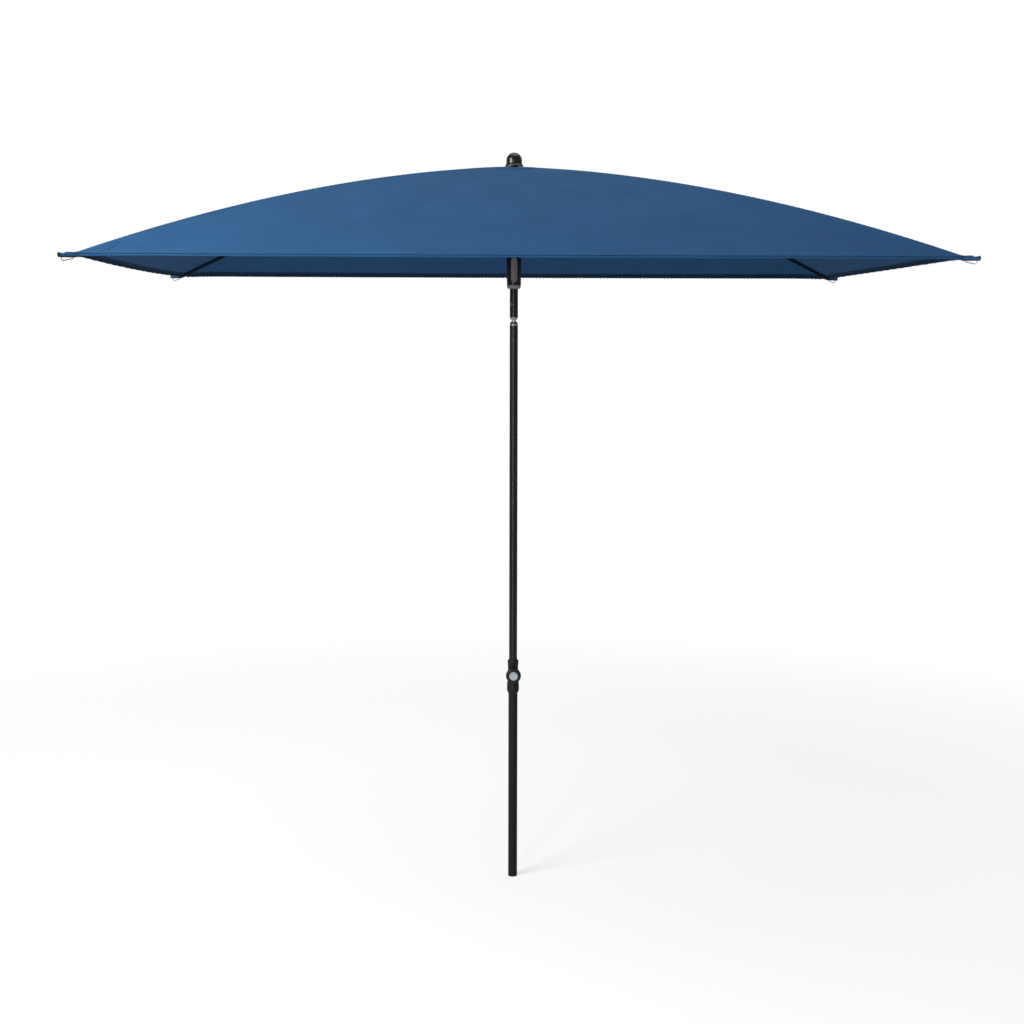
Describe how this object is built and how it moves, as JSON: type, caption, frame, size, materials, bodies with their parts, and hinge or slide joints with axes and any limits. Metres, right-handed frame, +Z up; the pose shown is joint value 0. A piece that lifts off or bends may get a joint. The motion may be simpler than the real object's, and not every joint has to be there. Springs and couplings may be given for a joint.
{
  "type": "rectangular patio parasol",
  "caption": "Rectangular tilting parasol on a two-part telescoping pole with clamp knob, sliding runner and folding ribs; its pole end drops into a stand.",
  "frame": {"origin": "centre of the pole's free lower end", "axes": "+Z up along the pole, +X along the canopy's long side, -Y is the front with the clamp knob and the runner's release button"},
  "size_m": [2.0732, 1.2962, 1.987],
  "materials": {
    "canopy_fabric": "dyed woven polyester, water repellent",
    "lower_tube_paint": "anthracite powder coat",
    "mast_paint": "anthracite powder coat",
    "rib_paint": "dark powder coat",
    "black_plastic": "moulded, fine grain",
    "knob_plastic": "moulded, satin",
    "grey_cap": "satin light grey",
    "zinc_steel": "zinc plated",
    "die_cast": "polished zinc casting",
    "spring_steel": "oiled spring steel",
    "button_metal": "satin",
    "gloss_black": "polished",
    "runner_gloss": "polished",
    "grey_ring": "satin",
    "rocker_bronze": "satin warm grey",
    "tip_plastic": "moulded",
    "clip_wire": "zinc plated wire"
  },
  "bodies": {
    "lower_pole": {"lower_tube": "lower_tube_paint", "foot_plug": "black_plastic", "clamp_body": "black_plastic", "clamp_nut": "zinc_steel"},
    "mast": {"mast_tube": "mast_paint", "mast_foot_bush": "black_plastic", "tilt_socket": "die_cast", "tilt_pin": "zinc_steel"},
    "clamp_pad": {"pressure_pad": "black_plastic"},
    "clamp_knob": {"height_knob": "knob_plastic", "knob_cap": "grey_cap", "clamp_screw": "zinc_steel"},
    "canopy_pole": {"canopy_tube": "mast_paint", "tilt_tongue": "die_cast", "lock_spring": "spring_steel", "spring_seat": "zinc_steel", "top_hub": "black_plastic", "rib_pins": "zinc_steel", "finial": "gloss_black", "finial_stud": "zinc_steel", "crown_patch": "canopy_fabric"},
    "tilt_push": {"tilt_button": "button_metal"},
    "lock": {"lock_bolt": "zinc_steel"},
    "runner": {"runner_sleeve": "runner_gloss", "runner_ring": "grey_ring", "rocker_spring": "spring_steel"},
    "runner_rocker": {"runner_button": "rocker_bronze"},
    "rib_arm_back_right": {"rib_back_right": "rib_paint", "bracket_back_right": "black_plastic", "strut_rivet_back_right": "zinc_steel", "rib_tip_back_right": "tip_plastic", "corner_clip_back_right": "clip_wire", "canopy_back_right": "canopy_fabric"},
    "strut_arm_back_right": {"strut_back_right": "rib_paint", "strut_pin_back_right": "zinc_steel"},
    "rib_arm_back_left": {"rib_back_left": "rib_paint", "bracket_back_left": "black_plastic", "strut_rivet_back_left": "zinc_steel", "rib_tip_back_left": "tip_plastic", "corner_clip_back_left": "clip_wire", "canopy_back_left": "canopy_fabric"},
    "strut_arm_back_left": {"strut_back_left": "rib_paint", "strut_pin_back_left": "zinc_steel"},
    "rib_arm_front_left": {"rib_front_left": "rib_paint", "bracket_front_left": "black_plastic", "strut_rivet_front_left": "zinc_steel", "rib_tip_front_left": "tip_plastic", "corner_clip_front_left": "clip_wire", "canopy_front_left": "canopy_fabric"},
    "strut_arm_front_left": {"strut_front_left": "rib_paint", "strut_pin_front_left": "zinc_steel"},
    "rib_arm_front_right": {"rib_front_right": "rib_paint", "bracket_front_right": "black_plastic", "strut_rivet_front_right": "zinc_steel", "rib_tip_front_right": "tip_plastic", "corner_clip_front_right": "clip_wire", "canopy_front_right": "canopy_fabric"},
    "strut_arm_front_right": {"strut_front_right": "rib_paint", "strut_pin_front_right": "zinc_steel"}
  },
  "joints": [
    {"name": "height_slide", "type": "slide", "parent": "lower_pole", "child": "mast", "axis": [0, 0, 1], "range_m": [-0.08, 0.25]},
    {"name": "pad_slide", "type": "slide", "parent": "lower_pole", "child": "clamp_pad", "axis": [0, 1, 0], "range_m": [-0.00187, 0]},
    {"name": "knob_turn", "type": "hinge", "parent": "clamp_pad", "child": "clamp_knob", "pos_m": [0, -0.03, 0.58], "axis": [0, 1, 0], "range_deg": [-540.1, 0]},
    {"name": "tilt", "type": "hinge", "parent": "mast", "child": "canopy_pole", "pos_m": [0, 0, 1.536], "axis": [1, 0, 0], "range_deg": [0, 45]},
    {"name": "tilt_button_press", "type": "slide", "parent": "canopy_pole", "child": "tilt_push", "axis": [0.5, 0.866, 0], "range_m": [0, 0.002], "stiffness_N_per_m": 900, "springref_m": -0.002},
    {"name": "lock_lift", "type": "slide", "parent": "canopy_pole", "child": "lock", "axis": [0, 0, 1], "range_m": [0, 0.00201], "deforming": ["lock_spring"]},
    {"name": "runner_slide", "type": "slide", "parent": "canopy_pole", "child": "runner", "axis": [0, 0, -1], "range_m": [0, 0.84266]},
    {"name": "runner_rocker_press", "type": "hinge", "parent": "runner", "child": "runner_rocker", "pos_m": [0, -0.0156, 1.6785], "axis": [1, 0, 0], "range_deg": [0, 4], "stiffness_Nm_per_rad": 0.6, "springref_deg": -2.86, "deforming": ["rocker_spring"]},
    {"name": "rib_back_right_fold", "type": "hinge", "parent": "canopy_pole", "child": "rib_arm_back_right", "pos_m": [0.02207, 0.01375, 1.937], "axis": [-0.5289, 0.8487, 0], "range_deg": [0, 76.51], "deforming": ["canopy_back_right"]},
    {"name": "strut_back_right_fold", "type": "hinge", "parent": "rib_arm_back_right", "child": "strut_arm_back_right", "pos_m": [0.44132, 0.27502, 1.86], "axis": [-0.5289, 0.8487, 0], "range_deg": [-153.01, 0]},
    {"name": "rib_back_left_fold", "type": "hinge", "parent": "canopy_pole", "child": "rib_arm_back_left", "pos_m": [-0.02207, 0.01375, 1.937], "axis": [-0.5289, -0.8487, 0], "range_deg": [0, 76.51], "deforming": ["canopy_back_left"]},
    {"name": "strut_back_left_fold", "type": "hinge", "parent": "rib_arm_back_left", "child": "strut_arm_back_left", "pos_m": [-0.44132, 0.27502, 1.86], "axis": [-0.5289, -0.8487, 0], "range_deg": [-153.01, 0]},
    {"name": "fold", "type": "hinge", "parent": "canopy_pole", "child": "rib_arm_front_left", "pos_m": [-0.02207, -0.01375, 1.937], "axis": [0.5289, -0.8487, 0], "range_deg": [0, 76.5], "deforming": ["canopy_front_left"]},
    {"name": "strut_front_left_fold", "type": "hinge", "parent": "rib_arm_front_left", "child": "strut_arm_front_left", "pos_m": [-0.44132, -0.27502, 1.86], "axis": [0.5289, -0.8487, 0], "range_deg": [-153.01, 0]},
    {"name": "rib_front_right_fold", "type": "hinge", "parent": "canopy_pole", "child": "rib_arm_front_right", "pos_m": [0.02207, -0.01375, 1.937], "axis": [0.5289, 0.8487, 0], "range_deg": [0, 76.51], "deforming": ["canopy_front_right"]},
    {"name": "strut_front_right_fold", "type": "hinge", "parent": "rib_arm_front_right", "child": "strut_arm_front_right", "pos_m": [0.44132, -0.27502, 1.86], "axis": [0.5289, 0.8487, 0], "range_deg": [-153.01, 0]}
  ],
  "couplings": [
    {"joint": "knob_turn", "follows": "pad_slide", "rad_per_m": 5026.5},
    {"joint": "lock_lift", "follows": "tilt_button_press", "ratio": 1},
    {"joint": "runner_slide", "follows": "fold", "m_per_rad": 0.63112},
    {"joint": "rib_back_right_fold", "follows": "fold", "ratio": 1},
    {"joint": "strut_back_right_fold", "follows": "fold", "ratio": -2},
    {"joint": "rib_back_left_fold", "follows": "fold", "ratio": 1},
    {"joint": "strut_back_left_fold", "follows": "fold", "ratio": -2},
    {"joint": "strut_front_left_fold", "follows": "fold", "ratio": -2},
    {"joint": "rib_front_right_fold", "follows": "fold", "ratio": 1},
    {"joint": "strut_front_right_fold", "follows": "fold", "ratio": -2}
  ]
}
